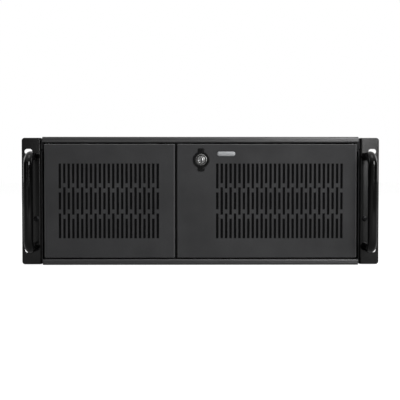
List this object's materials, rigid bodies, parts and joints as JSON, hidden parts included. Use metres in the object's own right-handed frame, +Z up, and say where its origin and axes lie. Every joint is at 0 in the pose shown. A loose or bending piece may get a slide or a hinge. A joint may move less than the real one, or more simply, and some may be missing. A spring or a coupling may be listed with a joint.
{
  "type": "empty rackmount server case",
  "caption": "Four-unit rackmount server case with rack ears and bow handles, slotted front doors with a lock, drive cages, fans and a slide-off top cover.",
  "frame": {"origin": "middle of the case's overall length and width, on the surface it stands on", "axes": "front faces -Y, +Y towards the rear panel, +X to the right of someone who faces the front, +Z up"},
  "size_m": [0.4826, 0.499, 0.172],
  "materials": {
    "black_powder_coat": "fine matte texture",
    "black_rail_coat": "semi-gloss",
    "black_gloss_coat": "gloss",
    "black_oxide_steel": "black oxide",
    "galvanised_steel": "zinc coated",
    "nickel_plate": "satin nickel plate",
    "brass": "turned",
    "black_plastic": "moulded",
    "button_plastic": "moulded",
    "clear_light_pipe": "polished",
    "filter_foam": "open cell foam",
    "circuit_board": "solder mask",
    "ferrite": "sintered",
    "badge_aluminium": "satin"
  },
  "bodies": {
    "chassis": {"chassis_base": "black_powder_coat", "front_panel": "black_powder_coat", "rear_panel": "black_powder_coat", "centre_post": "black_powder_coat", "door_magnets": "ferrite", "top_rail": "black_rail_coat", "bottom_rail": "black_rail_coat", "ear_left": "black_powder_coat", "ear_right": "black_powder_coat", "ear_screws": "black_oxide_steel", "ear_face_screws": "black_oxide_steel", "handle_left": "black_gloss_coat", "handle_right": "black_gloss_coat", "handle_screws": "black_oxide_steel", "front_fan_frame": "black_plastic", "rear_fan_frame_left": "black_plastic", "rear_fan_frame_right": "black_plastic", "fan_guard_left": "nickel_plate", "fan_guard_right": "nickel_plate", "guard_screws": "black_oxide_steel", "drive_cage": "galvanised_steel", "disk_cage": "galvanised_steel", "control_strip": "black_plastic", "control_board": "circuit_board", "switches": "black_plastic", "status_lights": "clear_light_pipe", "usb_ports": "galvanised_steel", "slot_covers": "galvanised_steel", "slot_rail": "galvanised_steel", "slot_screws": "galvanised_steel", "standoffs": "brass", "card_bar": "galvanised_steel", "bay_cover_1": "black_plastic", "bay_cover_2": "black_plastic", "bay_cover_3": "black_plastic"},
    "left_door": {"left_door": "black_powder_coat", "left_hinge_pins": "black_oxide_steel", "left_filter": "filter_foam", "left_filter_frame": "black_powder_coat"},
    "right_door": {"right_door": "black_powder_coat", "right_hinge_pins": "black_oxide_steel", "right_filter": "filter_foam", "right_filter_frame": "black_powder_coat", "lock_escutcheon": "black_plastic", "lock_barrel": "nickel_plate", "lock_nut": "nickel_plate", "badge": "badge_aluminium"},
    "lock_plug": {"lock_rotor": "nickel_plate", "lock_cam": "galvanised_steel", "lock_cam_screw": "galvanised_steel"},
    "cover": {"top_cover": "black_powder_coat", "cover_thumbscrews": "nickel_plate"},
    "front_fan": {"front_fan_rotor": "black_plastic"},
    "rear_fan_left": {"rear_fan_rotor_left": "black_plastic"},
    "rear_fan_right": {"rear_fan_rotor_right": "black_plastic"},
    "power_button": {"power_button": "button_plastic"},
    "reset_button": {"reset_button": "button_plastic"}
  },
  "joints": [
    {"name": "left_door_hinge", "type": "hinge", "parent": "chassis", "child": "left_door", "pos_m": [-0.205, -0.2112, 0.086], "axis": [0, 0, -1], "range_deg": [0, 95]},
    {"name": "right_door_hinge", "type": "hinge", "parent": "chassis", "child": "right_door", "pos_m": [0.205, -0.2112, 0.086], "axis": [0, 0, 1], "range_deg": [0, 95]},
    {"name": "lock_turn", "type": "hinge", "parent": "right_door", "child": "lock_plug", "pos_m": [0.0009, -0.2092, 0.1413], "axis": [0, 1, 0], "range_deg": [0, 90]},
    {"name": "cover_slide", "type": "slide", "parent": "chassis", "child": "cover", "axis": [0, 1, 0], "range_m": [0, 0.45]},
    {"name": "front_fan_spin", "type": "hinge", "parent": "chassis", "child": "front_fan", "pos_m": [-0.12, -0.1748, 0.086], "axis": [0, 1, 0], "continuous": true},
    {"name": "rear_fan_left_spin", "type": "hinge", "parent": "chassis", "child": "rear_fan_left", "pos_m": [-0.006, 0.2258, 0.112], "axis": [0, 1, 0], "continuous": true},
    {"name": "rear_fan_right_spin", "type": "hinge", "parent": "chassis", "child": "rear_fan_right", "pos_m": [0.078, 0.2258, 0.112], "axis": [0, 1, 0], "continuous": true},
    {"name": "power_button_press", "type": "slide", "parent": "chassis", "child": "power_button", "axis": [0, 1, 0], "range_m": [0, 0.0015], "stiffness_N_per_m": 600, "springref_m": -0.001},
    {"name": "reset_button_press", "type": "slide", "parent": "chassis", "child": "reset_button", "axis": [0, 1, 0], "range_m": [0, 0.0015], "stiffness_N_per_m": 600, "springref_m": -0.001}
  ]
}
